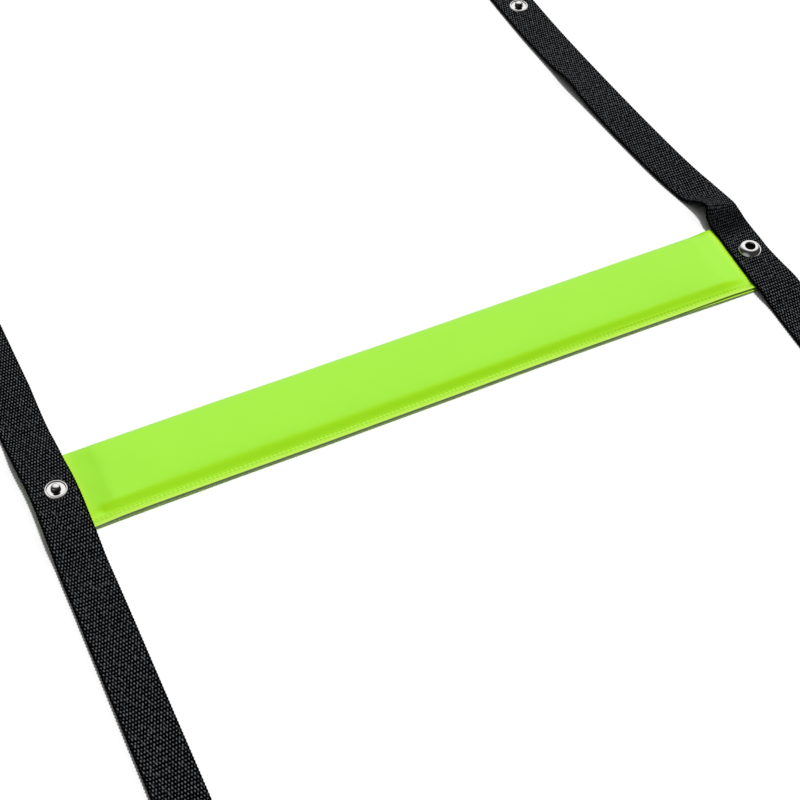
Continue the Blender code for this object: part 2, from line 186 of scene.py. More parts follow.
# Towards the right the sheet rises less steeply from the weld to the slat. The pairs here and
# below are where a thing starts and over how long it grows
WELD_RISE_MM = 0.42
WELD_RISE_X_MM = (20, 110)
WELD_RISE_MIDDLE_MM = -20.3
WELD_RISE_HALF_MM = 2.0
# At the right the welded skins part at their edge: (y, z) for the upper and for the lower skin
PARTING_X_MM = (135, 50)
PARTING_Y_MM = (20, 4)
PARTED_UPPER_MM = (0.5, 0.42)
PARTED_LOWER_MM = (-0.4, -0.30)
# Towards the left the welded edge lies a little off the floor
LIFT_MM = 0.5
LIFT_X_MM = (95, 75)
LIFT_Y_MM = (17, 5)
LIFT_AT_STRAP = 0.3
# How far the near edge lies in from its even place: (x, y), and small waves of both edges
NEAR_EDGE_MM = (
    (-217, -0.3), (-194, -0.2), (-165, 0.15), (-138, 0.15), (4, 0.85), (60, 1.25), (108, 1.15),
    (150, 0.9), (185, 0.5), (217, 0.4),
)
NEAR_EDGE_Y_MM = (14.5, 7)
WANDER_MM = 0.22
WANDER_WAVES = 22
WANDER_SEED = (5.3, 1.9)

# The sleeve's sheet, unrolled from its upper free edge over the top and back under: (y, z) of its
# outer face where the slat fills it, and z of the same point where it is pressed flat
SLEEVE_SECTION_MM = (
    (-25.0, 2.68, 1.86), (-24.6, 2.75, 1.88), (-24.0, 2.75, 1.88), (-23.2, 2.70, 1.87),
    (-22.4, 2.64, 1.86), (-22.2, 2.50, 1.74), (-22.0, 2.60, 1.85), (-21.4, 2.55, 1.85),
    (-20.9, 2.54, 1.85), (-20.7, 2.42, 1.73), (-20.5, 2.56, 1.84), (-20.2, 2.62, 1.85),
    (-19.8, 2.78, 1.86), (-19.3, 3.03, 1.87), (-18.8, 3.34, 1.89), (-18.2, 3.74, 1.92),
    (-17.6, 4.14, 1.96), (-17.0, 4.54, 2.00), (-16.3, 4.96, 2.05), (-15.5, 5.34, 2.09),
    (-14.4, 5.62, 2.12), (-13.0, 5.86, 2.14), (-11.0, 6.09, 2.16), (-8.0, 6.32, 2.18),
    (-5.0, 6.47, 2.20), (-1.0, 6.58, 2.20), (3.0, 6.60, 2.20), (7.0, 6.53, 2.20),
    (11.0, 6.36, 2.20), (14.5, 6.14, 2.20), (17.5, 5.88, 2.20), (19.6, 5.66, 2.19),
    (21.2, 5.42, 2.17), (22.6, 5.02, 2.13), (23.7, 4.46, 2.04), (24.5, 3.78, 1.88),
    (24.9, 3.10, 1.55), (25.0, 2.60, 1.10), (24.85, 1.95, 0.66), (24.35, 1.26, 0.34),
    (23.5, 0.70, 0.14), (22.4, 0.30, 0.04), (21.0, 0.07, 0.0), (19.0, 0.0, 0.0),
    (12.0, 0.0, 0.0), (4.0, 0.0, 0.0), (-4.0, 0.0, 0.0), (-12.0, 0.0, 0.0),
    (-14.8, 0.02, 0.0), (-16.4, 0.08, 0.0), (-17.8, 0.22, 0.02), (-19.0, 0.42, 0.06),
    (-20.2, 0.62, 0.12), (-21.4, 0.78, 0.17), (-22.6, 0.90, 0.20), (-23.1, 0.94, 0.21),
    (-23.8, 1.00, 0.22), (-24.5, 1.05, 0.23), (-25.0, 1.05, 0.24),
)
# So many of these rows belong to the upper skin
TOP_ROWS = 37

# The welding bar presses two rows of ticks, which stand out over the grain of the sheet
TICK_PITCH = 0.0024
BAR_MIDDLE = 0.0036
BAR_HALF = 0.00075
TICKS_OVER_GRAIN = 2.0

# Fasteners: (radius, height over the seat), from the middle of the top outwards and down
STUD_PROFILE_MM = (
    (0.5, 3.62), (1.0, 3.53), (1.45, 3.38), (1.85, 3.16), (2.17, 2.88), (2.40, 2.55),
    (2.52, 2.20), (2.56, 1.85), (2.56, 1.50), (2.56, 1.15), (2.56, 0.80), (2.58, 0.66),
    (2.68, 0.61), (3.2, 0.60), (3.9, 0.60), (4.4, 0.61), (4.62, 0.58), (4.74, 0.50),
    (4.86, 0.50), (4.96, 0.60), (5.08, 0.78), (5.26, 0.93), (5.5, 0.99), (5.72, 0.95),
    (5.92, 0.77), (6.05, 0.48), (6.10, 0.22), (6.05, 0.05), (5.9, 0.0), (2.3, 0.0),
    (2.2, -0.15),
)
SOCKET_PROFILE_MM = (
    (0.8, 0.50), (2.1, 0.52), (2.55, 0.60), (2.73, 0.85), (2.75, 1.4), (2.72, 1.9),
    (2.72, 2.15), (2.78, 2.42), (2.92, 2.63), (3.15, 2.78), (3.45, 2.85), (3.8, 2.85),
    (4.15, 2.79), (4.5, 2.68), (4.85, 2.50), (5.2, 2.28), (5.55, 1.99), (5.9, 1.64),
    (6.2, 1.28), (6.45, 0.92), (6.64, 0.58), (6.76, 0.30), (6.80, 0.14), (6.74, 0.04),
    (6.6, 0.0), (2.3, 0.0), (2.2, -0.15),
)
# (radius, height over the floor)
RIVET_FLANGE_MM = (
    (2.2, 0.50), (5.0, 0.50), (5.35, 0.42), (5.50, 0.24), (5.42, 0.06), (5.2, -0.02),
    (4.6, -0.05), (0.8, -0.05),
)
TURNED_SIDES = 64
TURNED_SMOOTH_ANGLE = 38
# Painted shade in a socket's hole up to its spring, and a painted dark reflection round a stud's
# neck, have the same radius
DARK_RADIUS = 0.00277
HOLE_HEIGHTS = (0, 0.0021)
NECK_HEIGHTS = (0.0006, 0.0028)
# The stud of the photographed rung is riveted a little off the middle
STUD_ASIDE = (0.0020, 0.0019, 0)

# Camera, fitted to the photograph
CAMERA_PLACE = (-0.2814, -0.5596, 0.7243)
CAMERA_LENS = 79.6
SENSOR = 36.0
LOOK_DOWN = math.radians(50.14)
LOOK_ROUND = math.radians(25.6)
CAMERA_ROLL = math.radians(0.56)

# Light: the studio's level from above and near the floor, what gloss mirrors of it (a dim room, a
# white backdrop and a faint wall), and the key lamp's level, spread in degrees and direction
WORLD_LEVEL = 0.56
WORLD_LOW = 0.02
STUDIO_DIM = 0.035
BACKDROP_TOWARD = (0.35, 0.73, 0.59)
WALL_TOWARD = (-0.85, -0.45, 0.25)
WALL_LEVEL = 0.3
KEY_LEVEL = 2.43
KEY_SPREAD = 8
KEY_FROM = (0.322, 0.0, 0.947)
FLOOR_SIZE = 60
# How much brighter the floor is to the camera
FLOOR_GAIN = 0.03


def deselect_all():
    """Leaves object mode with nothing selected."""
    if bpy.context.object and bpy.context.object.mode != "OBJECT":
        bpy.ops.object.mode_set(mode="OBJECT")
    bpy.ops.object.select_all(action="DESELECT")


def make_active(piece):
    """Selects one piece alone."""
    deselect_all()
    piece.select_set(True)
    bpy.context.view_layer.objects.active = piece


def name_piece(name):
    """Names the piece that was just added, and its mesh."""
    piece = bpy.context.object
    piece.name = name
    piece.data.name = name
    return piece


def settle(piece):
    """Brings a piece's place into its mesh, so that its object sits at the origin."""
    make_active(piece)
    bpy.ops.object.transform_apply(location=True, rotation=True, scale=True)


def apply_modifier(piece, kind, settings):
    """Adds one modifier with its settings and applies it."""
    make_active(piece)
    added = piece.modifiers.new(kind.lower(), kind)
    for key, value in settings.items():
        setattr(added, key, value)
    bpy.ops.object.modifier_apply(modifier=added.name)


def thicken(piece, thickness, offset):
    """Makes a solid of a sheet."""
    settings = {"thickness": thickness, "offset": offset, "use_even_offset": True}
    apply_modifier(piece, "SOLIDIFY", settings)


def smooth_by_angle(piece, degrees):
    """Smooth shading, with edges sharper than the angle kept."""
    make_active(piece)
    bpy.ops.object.shade_smooth_by_angle(angle=math.radians(degrees))


def copy_piece(piece, name, shift):
    """A copy with its own mesh, moved in its mesh."""
    made = piece.copy()
    made.data = piece.data.copy()
    made.name = name
    made.data.name = name
    bpy.context.scene.collection.objects.link(made)
    made.data.transform(Matrix.Translation(shift))
    return made


def ease(share):
    """Eases a share from 0 to 1 with level ends."""
    share = min(max(share, 0), 1)
    return share * share * (3 - 2 * share)


def grown(place, window):
    """Eased share of what has grown at a place. The window is its start and its length."""
    start, length = window
    return ease((place - start) / length)


def along_table(table, place):
    """Smooth value between the rows (place, value) of a table. The end values hold beyond it."""
    if place <= table[0][0]:
        return table[0][1]
    if place >= table[-1][0]:
        return table[-1][1]
    index = next(i for i in range(1, len(table)) if table[i][0] >= place)
    before, after = table[index - 1], table[index]
    left = table[max(index - 2, 0)]
    right = table[min(index + 1, len(table) - 1)]
    span = after[0] - before[0]
    share = (place - before[0]) / span
    slope_before = span * (after[1] - left[1]) / (after[0] - left[0])
    slope_after = span * (right[1] - before[1]) / (right[0] - before[0])
    square, cube = share ** 2, share ** 3
    return (
        before[1] * (2 * cube - 3 * square + 1) + after[1] * (3 * square - 2 * cube)
        + slope_before * (cube - 2 * square + share) + slope_after * (cube - square)
    )


def rung_y(index):
    """Place of a rung along the ladder. The first rung has index 1."""
    return (index - (RUNG_COUNT + 1) / 2) * RUNG_PITCH


def plain_lay(y, index, shares):
    """Height of a strap's underside and its drift to +X, at y from the rung with this index."""
    height = PLATEAU_HEIGHT * (1 - ease((abs(y) - PLATEAU_HALF) / RAMP_LENGTH))
    share = shares[index] if y > 0 else shares[index - 1]
    reach = FOLD_Y if y > 0 else RUNG_PITCH - FOLD_Y
    along = min(max((abs(y) - DRIFT_START) / (reach - DRIFT_START), 0), 1)
    return height, STRAP_DRIFT * share * along * (2 - along)


def fold_hump(place):
    """Slack of the webbing over the fold lines where the tops of two segments meet."""
    for index in range(1, RUNG_COUNT, 2):
        beyond = abs(place - rung_y(index) - FOLD_Y) / FOLD_HUMP_HALF
        if beyond < 1:
            return FOLD_HUMP * math.cos(beyond * math.pi / 2) ** 2
    return 0


def outer_curl(across, place, y):
    """Height and drift of the left strap where its outer edge curls up."""
    outward = max(-across - CURL_FROM, 0) / (WEB_WIDTH / 2 - CURL_FROM)
    from_fold = min(abs(y - FOLD_Y), abs(y + RUNG_PITCH - FOLD_Y))
    share = outward ** CURL_POWER * ease((from_fold - CURL_END / 2) / CURL_END)
    curl = CURL + CURL_VARIES * noise.noise(Vector((place * CURL_WAVES, *CURL_SEED)))
    return curl * share, -CURL_PULL * share


def photographed_lay(side, across, y):
    """What a strap's height and drift have over the plain lay beside the photographed rung."""
    stray, tilt = (LEFT_STRAY_MM, LEFT_TILT_MM) if side < 0 else (RIGHT_STRAY_MM, RIGHT_TILT_MM)
    inward = 0.5 - side * across / WEB_WIDTH
    drift = MM * along_table(stray, y / MM)
    height = MM * along_table(tilt, y / MM) * inward ** TILT_POWER
    if side > 0:
        buckle = MM * along_table(BUCKLE_MM, y / MM)
        bent = inward ** BUCKLE_POWER
        height += buckle * (BUCKLE_AT_OUTER_EDGE + (1 - BUCKLE_AT_OUTER_EDGE) * bent)
        height += MM * along_table(RAISED_EDGE_MM, y / MM) * inward ** RAISED_EDGE_POWER
        drift += BUCKLE_PULL * buckle * bent
        drift -= MM * along_table(NARROWED_MM, y / MM) * across / WEB_WIDTH
    return height, drift


def webbing_point(side, across, place):
    """Where a point of a strap's underside lies. Side -1 is the left strap, side 1 the right."""
    index = min(max(round(place / RUNG_PITCH + (RUNG_COUNT + 1) / 2), 1), RUNG_COUNT)
    if index < RUNG_COUNT and place > rung_y(index) + FOLD_Y:
        index += 1
    if index > 1 and place < rung_y(index - 1) + FOLD_Y:
        index -= 1
    y = place - rung_y(index)
    lays = [plain_lay(y, index, LEFT_DRIFT_SHARES if side < 0 else RIGHT_DRIFT_SHARES)]
    if side < 0:
        lays.append(outer_curl(across, place, y))
    if index == PHOTO_RUNG:
        lays.append(photographed_lay(side, across, y))
    inner = max(-side * across - OVER_SWELL_FROM, 0) / (WEB_WIDTH / 2 - OVER_SWELL_FROM)
    on_sleeve = 1 - ease((abs(y) - PLATEAU_HALF + OVER_SWELL_SHORTER) / RAMP_LENGTH)
    height = fold_hump(place) + OVER_SWELL * inner ** OVER_SWELL_POWER * on_sleeve
    height += sum(lay[0] for lay in lays)
    drift = sum(lay[1] for lay in lays)
    return side * STRAP_X + drift + across, place, height


def webbing_strip(name, side, near, far):
    """A stretch of strap from near to far: a woven strip with round, faintly scalloped edges."""
    rows = round((far - near) / WEB_ROW)
    deselect_all()
    bpy.ops.mesh.primitive_grid_add(
        x_subdivisions=WEB_COLUMNS, y_subdivisions=rows, size=1, location=(0, 0, 0)
    )
    strip = name_piece(name)
    mesh = strip.data
    spots = []
    for vert in mesh.vertices:
        spots.append((vert.co.x * WEB_WIDTH, near + (vert.co.y + 0.5) * (far - near)))
    weave = mesh.uv_layers.active
    weave.name = "weave"
    for loop in mesh.loops:
        across, place = spots[loop.vertex_index]
        # both straps have the same selvedge, with its painted shade, on the inner side
        weave.data[loop.index].uv = (side * across + WEB_WIDTH / 2, place - near)
    for vert, (across, place) in zip(mesh.vertices, spots):
        at_edge = abs(across) > WEB_WIDTH / 2 - CLEARANCE
        if at_edge and round((place - near) / WEB_ROW) % 2:
            across -= math.copysign(SELVEDGE_SCALLOP, across)
        vert.co = webbing_point(side, across, place)
    thicken(strip, WEB_THICKNESS, 1)
    round_edges = {
        "width": SELVEDGE_ROUND, "segments": 2, "limit_method": "ANGLE",
        "angle_limit": math.radians(SELVEDGE_ANGLE),
    }
    apply_modifier(strip, "BEVEL", round_edges)
    smooth_by_angle(strip, WEB_SMOOTH_ANGLE)
    strip.data.materials.append(webbing)
    return strip


def build_straps():
    """Both straps, each in eight stretches that meet under the fasteners at the rungs."""
    first, last = rung_y(1), rung_y(RUNG_COUNT)
    for side, word in ((-1, "left"), (1, "right")):
        near_tail = webbing_strip(f"{word}_webbing_near_tail", side, first - FOLD_Y, first)
        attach(near_tail, "segment_1")
        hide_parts(f"{word}_strap_1")
        for index in range(1, RUNG_COUNT):
            near, far = rung_y(index), rung_y(index + 1)
            strip = webbing_strip(f"{word}_webbing_bay_{index}", side, near, far)
            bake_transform(strip)
            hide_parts(f"{word}_strap_{index}", f"{word}_strap_{index + 1}")
        far_end = last + FOLD_Y - CLEARANCE / 2
        far_tail = webbing_strip(f"{word}_webbing_far_tail", side, last, far_end)
        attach(far_tail, f"segment_{RUNG_COUNT}")
        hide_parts(f"{word}_strap_{RUNG_COUNT}")


def sleeve_stations():
    """Places along half a sleeve, from its middle to its end."""
    full = STRAP_INNER_X - TAPER_REACH
    under = SLEEVE_HALF_LENGTH - STRAP_INNER_X
    middle = [full * i / MIDDLE_COLUMNS for i in range(MIDDLE_COLUMNS)]
    taper = [full + TAPER_REACH * i / TAPER_COLUMNS for i in range(TAPER_COLUMNS)]
    end = [STRAP_INNER_X + under * i / END_COLUMNS for i in range(END_COLUMNS + 1)]
    return middle + taper + end


def way_round(rows):
    """How far each row of the section lies from the upper free edge, along the sheet."""
    way = [0.0]
    for before, after in zip(rows, rows[1:]):
        way.append(way[-1] + MM * math.hypot(after[0] - before[0], after[1] - before[1]))
    return way


def upper_skin(x, y, share):
    """Height in mm that sags, dents and the weld's rise give the upper skin. x and y are in mm."""
    z = 0
    for along, across, seed, height in SAGS:
        z += share * height * noise.noise(Vector((x * MM * along, y * across, seed)))
    for at_x, at_y, radius, depth in DENTS_MM:
        z -= depth * math.exp(-(math.hypot(x - at_x, y - at_y) / radius) ** 2)
    beside_weld = math.exp(-((y - WELD_RISE_MIDDLE_MM) / WELD_RISE_HALF_MM) ** 2)
    return z + WELD_RISE_MM * grown(x, WELD_RISE_X_MM) * beside_weld * share


def sleeve_point(station, row):
    """A point of the sleeve's outer face at a station along X, on the given row of its section."""
    x = station / MM
    y, full, flat = SLEEVE_SECTION_MM[row]
    on_top = row < TOP_ROWS
    crown = ease((STRAP_INNER_X - CROWN_START - abs(station)) / CROWN_TAPER)
    kept = CROWN_AT_ENDS + (1 - CROWN_AT_ENDS) * crown
    full = min(full, SHOULDER_MM) + max(full - SHOULDER_MM, 0) * kept
    share = along_table(TAPER_SHARES, (STRAP_INNER_X - abs(station)) / MM)
    z = flat + (full - flat) * share
    if on_top and y > SAG_FROM_Y_MM:
        z += upper_skin(x, y, share)
    parting = grown(x, PARTING_X_MM) * grown(-y, PARTING_Y_MM)
    parted = PARTED_UPPER_MM if on_top else PARTED_LOWER_MM
    z += parting * parted[1]
    lifted = grown(-x, LIFT_X_MM) * grown(-y, LIFT_Y_MM)
    z += LIFT_MM * lifted * (LIFT_AT_STRAP + (1 - LIFT_AT_STRAP) * share)
    y += along_table(NEAR_EDGE_MM, x) * grown(-y, NEAR_EDGE_Y_MM) + parting * parted[0]
    spread = LEFT_SPREAD_MM if x < 0 else RIGHT_SPREAD_MM
    y += (1 - share) * ease(y / SPREAD_REACH_MM) * spread
    y += WANDER_MM * noise.noise(Vector((station * WANDER_WAVES, *WANDER_SEED)))
    return station, y * MM, z * MM


def build_sleeves():
    """Seven welded sleeves, each a sheet wrapped round its slat, open at both ends."""
    half = sleeve_stations()
    stations = [-x for x in reversed(half[1:])] + half
    columns, rows = len(stations) - 1, len(SLEEVE_SECTION_MM) - 1
    deselect_all()
    bpy.ops.mesh.primitive_grid_add(x_subdivisions=columns, y_subdivisions=rows, size=1)
    sleeve = name_piece("welded_sleeve")
    mesh = sleeve.data
    cells = []
    for vert in mesh.vertices:
        cells.append((round((vert.co.x + 0.5) * columns), round((vert.co.y + 0.5) * rows)))
    unrolled = mesh.uv_layers.active
    unrolled.name = "unrolled"
    for loop in mesh.loops:
        column, row = cells[loop.vertex_index]
        unrolled.data[loop.index].uv = (stations[column] + SLEEVE_HALF_LENGTH, SHEET_WAY[row])
    for vert, (column, row) in zip(mesh.vertices, cells):
        vert.co = sleeve_point(stations[column], row)
    thicken(sleeve, SKIN, -1)
    smooth_by_angle(sleeve, SLEEVE_SMOOTH_ANGLE)
    sleeve.data.materials.append(vinyl)
    for index in range(1, RUNG_COUNT + 1):
        lean = 0 if index == PHOTO_RUNG else SLEEVE_LEAN * math.sin(index * SLEEVE_LEAN_TURN)
        place = (0, rung_y(index) + SLEEVE_SHIFT - lean, 0)
        made = copy_piece(sleeve, f"welded_sleeve_{index}", place)
        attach(made, f"segment_{index}")
        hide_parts(f"rung_sleeve_{index}")
    bpy.data.objects.remove(sleeve)


def turn_ring(radius, height, radius_before, height_before):
    """Pulls the selected ring out into the next one of a turned piece."""
    bpy.ops.mesh.extrude_edges_move()
    share = radius / radius_before
    bpy.ops.transform.translate(value=(0, 0, height - height_before))
    bpy.ops.transform.resize(value=(share, share, 1), center_override=(0, 0, height))


def turned_fastener(name, profile_mm, seat):
    """A pressed metal fastener turned about Z, on its seat, with its rivet down to the floor."""
    rivet = [(radius, height - seat / MM) for radius, height in RIVET_FLANGE_MM]
    rings = [(radius * MM, height * MM) for radius, height in [*profile_mm, *rivet]]
    radius, height = rings[0]
    deselect_all()
    bpy.ops.mesh.primitive_circle_add(
        vertices=TURNED_SIDES, radius=radius, fill_type="TRIFAN", location=(0, 0, height)
    )
    piece = name_piece(name)
    settle(piece)
    bpy.ops.object.mode_set(mode="EDIT")
    bpy.ops.mesh.select_mode(type="VERT")
    bpy.ops.mesh.select_all(action="DESELECT")
    bpy.ops.object.mode_set(mode="OBJECT")
    for vert in piece.data.vertices:
        vert.select = vert.co.xy.length > radius / 2
    bpy.ops.object.mode_set(mode="EDIT")
    for ring in rings[1:]:
        turn_ring(*ring, radius, height)
        radius, height = ring
    bpy.ops.mesh.edge_face_add()
    bpy.ops.mesh.poke()
    bpy.ops.mesh.select_all(action="SELECT")
    bpy.ops.mesh.normals_make_consistent(inside=False)
    bpy.ops.object.mode_set(mode="OBJECT")
    smooth_by_angle(piece, TURNED_SMOOTH_ANGLE)
    return piece


def finish_fastener(piece, is_socket):
    """Nickel, with painted shade on the spring steel down in a socket's hole, and a painted dark
    reflection round a stud's neck.
    """
    piece.data.materials.append(nickel)
    piece.data.materials.append(spring_steel_and_painted_shade if is_socket else painted_dark_reflection)
    low, high = HOLE_HEIGHTS if is_socket else NECK_HEIGHTS
    for face in piece.data.polygons:
        if face.center.xy.length < DARK_RADIUS and low < face.center.z < high:
            face.material_index = 1


def build_fasteners():
    """Every stud and socket: two at each rung, two in each bay and two at the near end."""
    kinds = {}
    for kind, profile in (("stud", STUD_PROFILE_MM), ("socket", SOCKET_PROFILE_MM)):
        for place, seat in (("rung", RUNG_SEAT), ("bay", BAY_SEAT)):
            made = turned_fastener(f"{place}_{kind}_turned", profile, seat)
            finish_fastener(made, kind == "socket")
            kinds[place, kind] = made
    wanted = [("left_end_socket", "bay", "socket", 1), ("right_end_stud", "bay", "stud", 1)]
    for index in range(1, RUNG_COUNT + 1):
        wanted.append((f"left_rung_stud_{index}", "rung", "stud", index))
        wanted.append((f"right_rung_socket_{index}", "rung", "socket", index))
        wanted.append((f"left_bay_socket_{index}", "bay", "socket", index))
        wanted.append((f"right_bay_stud_{index}", "bay", "stud", index))
    for node, place, kind, index in wanted:
        low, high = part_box(node)
        seat = RUNG_SEAT if place == "rung" else BAY_SEAT
        shift = Vector(((low.x + high.x) / 2, (low.y + high.y) / 2, seat))
        if node == f"left_rung_stud_{PHOTO_RUNG}":
            shift += Vector(STUD_ASIDE)
        made = copy_piece(kinds[place, kind], f"pressed_{node}", shift)
        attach(made, f"segment_{index}")
        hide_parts(node)
    for made in kinds.values():
        bpy.data.objects.remove(made)


def finish_slats():
    """The slats keep their CAD mesh, in extruded plastic."""
    for index in range(1, RUNG_COUNT + 1):
        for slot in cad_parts[f"rung_slat_{index}"].material_slots:
            slot.material = slat


def linear_channel(value):
    """One sRGB channel, 0 to 1, as linear light."""
    return value / 12.92 if value <= 0.04045 else ((value + 0.055) / 1.055) ** 2.4


def colour(code):
    """A colour from its sRGB hex value."""
    return (*(linear_channel(int(code[i:i + 2], 16) / 255) for i in (1, 3, 5)), 1)


def set_inputs(tree, node, inputs):
    """Sets a node's inputs. Each is a value, or the output that feeds it."""
    for key, value in inputs.items():
        if isinstance(value, bpy.types.NodeSocket):
            tree.links.new(value, node.inputs[key])
        else:
            node.inputs[key].default_value = value


def add_node(tree, kind, inputs=None, **settings):
    """Adds one node with its settings and inputs."""
    made = tree.nodes.new(kind)
    for key, value in settings.items():
        setattr(made, key, value)
    set_inputs(tree, made, inputs or {})
    return made


def calculated(tree, operation, *values, clamp=False):
    """The result of one calculation with values or outputs."""
    inputs = dict(enumerate(values))
    made = add_node(tree, "ShaderNodeMath", inputs, operation=operation, use_clamp=clamp)
    return made.outputs[0]


def ranged(tree, value, start, end, low=0.0, high=1.0, interpolation="LINEAR"):
    """A value from start to end turned into one from low to high, which hold beyond."""
    inputs = {"Value": value, "From Min": start, "From Max": end, "To Min": low, "To Max": high}
    made = add_node(tree, "ShaderNodeMapRange", inputs, interpolation_type=interpolation)
    return made.outputs[0]


def faded(tree, value, start, end, low=0.0, high=1.0):
    """The same with a soft start and end."""
    return ranged(tree, value, start, end, low, high, interpolation="SMOOTHSTEP")


def mixed(tree, share, first, second):
    """A colour between two, each given as its hex value or as an output."""
    ends = [colour(each) if isinstance(each, str) else each for each in (first, second)]
    inputs = {0: share, 6: ends[0], 7: ends[1]}
    return add_node(tree, "ShaderNodeMix", inputs, data_type="RGBA").outputs[2]


def speckled(tree, place, scale, detail, roughness=0.5):
    """Noise at a place, from 0 to 1."""
    inputs = {"Vector": place, "Scale": scale, "Detail": detail, "Roughness": roughness}
    return add_node(tree, "ShaderNodeTexNoise", inputs).outputs["Fac"]


def relief(tree, height, strength, distance):
    """The normal of a surface with a height over it."""
    inputs = {"Strength": strength, "Distance": distance, "Height": height}
    return add_node(tree, "ShaderNodeBump", inputs).outputs["Normal"]


def own_place(tree):
    """The place in the piece's own coordinates."""
    return add_node(tree, "ShaderNodeTexCoord").outputs["Object"]


def own_map(tree, name):
    """The place on the piece's own map, whole and as X and Y."""
    spot = add_node(tree, "ShaderNodeUVMap", uv_map=name).outputs["UV"]
    parts = add_node(tree, "ShaderNodeSeparateXYZ", {"Vector": spot})
    return spot, parts.outputs["X"], parts.outputs["Y"]


def toward(tree, direction):
    """How nearly a ray of the world runs in a direction, up to 1."""
    ray = add_node(tree, "ShaderNodeTexCoord").outputs["Generated"]
    inputs = {0: ray, 1: Vector(direction).normalized()}
    return add_node(tree, "ShaderNodeVectorMath", inputs, operation="DOT_PRODUCT").outputs["Value"]


def new_material(name):
    """A material with its tree and its Principled shader."""
    made = bpy.data.materials.new(name)
    made.use_nodes = True
    return made, made.node_tree, made.node_tree.nodes["Principled BSDF"]


def painted_flank_shade(tree):
    """How much the crowns show: less on the buckle's near flank, where shade is painted."""
    shift = (-FLANK_SHADE_SQUEEZE * FLANK_SHADE_PLACE[0], -FLANK_SHADE_PLACE[1], 0)
    inputs = {"Vector": own_place(tree), "Location": shift, "Scale": (FLANK_SHADE_SQUEEZE, 1, 0)}
    offset = add_node(tree, "ShaderNodeMapping", inputs).outputs["Vector"]
    away = add_node(tree, "ShaderNodeVectorMath", {0: offset}, operation="LENGTH").outputs["Value"]
    return faded(tree, away, start=0.005, end=0.016, low=0.36)


def woven_polypropylene():
    """Black plain-woven webbing: a grey painted highlight on each crown of yarn, in staggered rows,
    black between.
    """
    made, tree, shader = new_material("woven_polypropylene_webbing")
    spot, x, y = own_map(tree, "weave")
    # a crown for each warp yarn across, and a row of crowns for each weft yarn, every other shifted
    warp = calculated(tree, "COSINE", calculated(tree, "MULTIPLY", x, math.tau / WARP_PITCH))
    weft = calculated(tree, "COSINE", calculated(tree, "MULTIPLY", y, math.pi / WEFT_PITCH))
    crowns = calculated(tree, "MULTIPLY", warp, weft)
    # the light catches only the top of each crown, which is as wide as it is long
    short = calculated(tree, "POWER", weft, CROWN_SHORTENING)
    wide = {"Value": calculated(tree, "MULTIPLY", warp, CROWN_WIDENING), "Min": -1.0, "Max": 1.0}
    wide = add_node(tree, "ShaderNodeClamp", wide).outputs[0]
    tops = calculated(tree, "MULTIPLY", wide, short)
    # yarns differ from crown to crown, and dust and tension differ over some centimetres
    yarns = speckled(tree, spot, scale=520.0, detail=2.0, roughness=0.6)
    wear = speckled(tree, spot, scale=38.0, detail=3.0)
    uneven = ranged(tree, yarns, start=0.3, end=0.7, low=-0.5, high=0.5)
    shown = faded(tree, calculated(tree, "ADD", tops, uneven), start=0.08, end=0.88)
    # painted shade: no crowns show along the inner selvedge, where the strap's side and its shadow
    # fall; the outer selvedge is narrow
    inner = faded(tree, x, start=0.0005, end=0.0013, low=0.03)
    outer = faded(tree, x, start=0.0238, end=0.0245, low=1.0, high=0.05)
    shown = calculated(tree, "MULTIPLY", shown, calculated(tree, "MINIMUM", inner, outer))
    # painted shade: fewer crowns show on the buckle's near flank
    shown = calculated(tree, "MULTIPLY", shown, painted_flank_shade(tree))
    # the painted highlight's grey, which dust and tension vary
    crown = mixed(tree, wear, "#585b5e", "#6f7376")
    height = calculated(tree, "ADD", crowns, uneven)
    set_inputs(tree, shader, {
        "Base Color": mixed(tree, shown, "#020203", crown),
        "Roughness": ranged(tree, shown, start=0.0, end=1.0, low=0.95, high=0.6),
        "Normal": relief(tree, height, strength=0.9, distance=0.00028),
        "Specular IOR Level": 0.06,
        "IOR": 1.49,
    })
    return made


def sheet_colour(tree, mottle, from_middle, way):
    """The vinyl's colour over its face, from the way round the sheet and the way to its ends, with
    painted light beside the weld and beside the straps.
    """
    body = mixed(tree, mottle, "#a4f506", "#a8fa08")
    # painted light: the sheet sloping over the slat's edge beside the weld is made a little lighter
    # and yellower
    painted_light_beside_weld = faded(tree, way, start=0.0095, end=0.0125, low=1.0, high=0.0)
    body = mixed(tree, painted_light_beside_weld, body, "#b0fb06")
    # painted light: pressed flat beside the straps it is a little paler
    return mixed(tree, faded(tree, from_middle, start=0.1900, end=0.1955), body, "#c0ff24")


def flange_colour(tree, body, from_edge):
    """Over the body's colour, the cut through two welded skins: paler, partly painted light, with a
    painted highlight along the cut and painted shade, olive, at its side.
    """
    # the flange band, paler: partly its thin welded skins, partly painted light
    flange = faded(tree, from_edge, start=0.0040, end=0.0056, low=1.0, high=0.0)
    pale_and_painted_light = mixed(tree, flange, body, "#b4f31a")
    # painted highlight along the cut
    painted_cut_highlight = faded(tree, from_edge, start=0.0006, end=0.0018, low=1.0, high=0.0)
    pale_and_painted_light = mixed(tree, painted_cut_highlight, pale_and_painted_light, "#ccf74a")
    # painted shade on the cut's side, dark olive
    side = ranged(tree, from_edge, start=0.00005, end=0.0002, low=1.0, high=0.0)
    return mixed(tree, side, pale_and_painted_light, "#2f4a02")


def weld_ticks(tree, along, from_edge):
    """The two rows of ticks that the welding bar presses, from -1 to 1."""
    ticks = calculated(tree, "SINE", calculated(tree, "MULTIPLY", along, math.tau / TICK_PITCH))
    distance = from_edge
    for step in (BAR_MIDDLE, BAR_HALF):
        distance = calculated(tree, "ABSOLUTE", calculated(tree, "SUBTRACT", distance, step))
    rows = faded(tree, distance, start=0.00015, end=0.0004, low=1.0, high=0.0)
    return calculated(tree, "MULTIPLY", ticks, rows)


